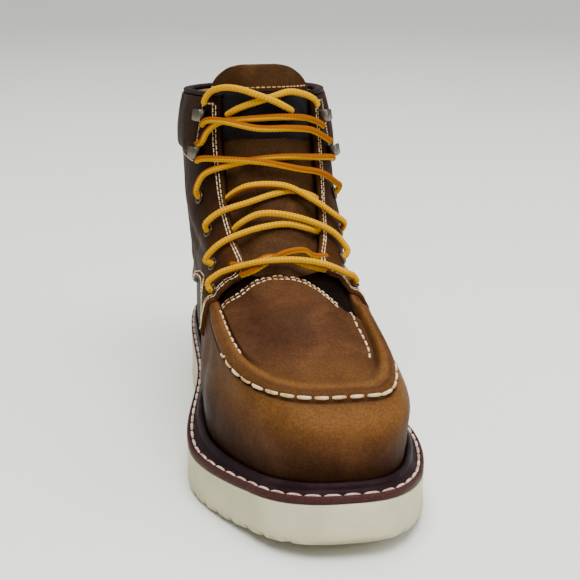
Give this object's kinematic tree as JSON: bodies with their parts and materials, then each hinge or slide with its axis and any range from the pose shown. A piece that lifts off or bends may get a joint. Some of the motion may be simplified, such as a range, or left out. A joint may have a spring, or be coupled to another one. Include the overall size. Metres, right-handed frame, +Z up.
{
  "type": "wedge sole work boot",
  "caption": "Brown leather work boot with a raised moc seam round the toe, a laced shaft with hooks, a stitched welt and a cream wedge sole.",
  "frame": {"origin": "on the floor, under the middle of the sole's box", "axes": "+Z up, -Y towards the toe, +X towards the big toe side of this right boot"},
  "size_m": [0.115, 0.306, 0.199],
  "materials": {
    "sole": "matte",
    "welt": "satin",
    "insole": "matte",
    "vamp": "satin",
    "shaft": "satin",
    "tongue": "satin",
    "tongue_cloth": "matte",
    "collar": "satin",
    "binding": "satin",
    "eyelet": "satin",
    "hook": "satin",
    "lace": "matte",
    "thread": "matte"
  },
  "bodies": {
    "root": {"outsole": "sole", "welt": "welt", "insole": "insole", "upper": "vamp", "quarter": "shaft", "tongue": "tongue", "collar": "collar", "collar_binding": "binding", "eyelet_outer_1": "eyelet", "eyelet_inner_1": "eyelet", "eyelet_outer_2": "eyelet", "eyelet_inner_2": "eyelet", "eyelet_outer_3": "eyelet", "eyelet_inner_3": "eyelet", "eyelet_outer_4": "eyelet", "eyelet_inner_4": "eyelet", "hook_outer_1": "hook", "hook_inner_1": "hook", "hook_outer_2": "hook", "hook_inner_2": "hook", "lace_bar": "lace", "lace_lower_cross": "lace", "lace_upper_cross": "lace", "lace_ankle_cross": "lace", "lace_hook_cross": "lace", "lace_end_outer": "lace", "lace_end_inner": "lace"}
  },
  "joints": []
}
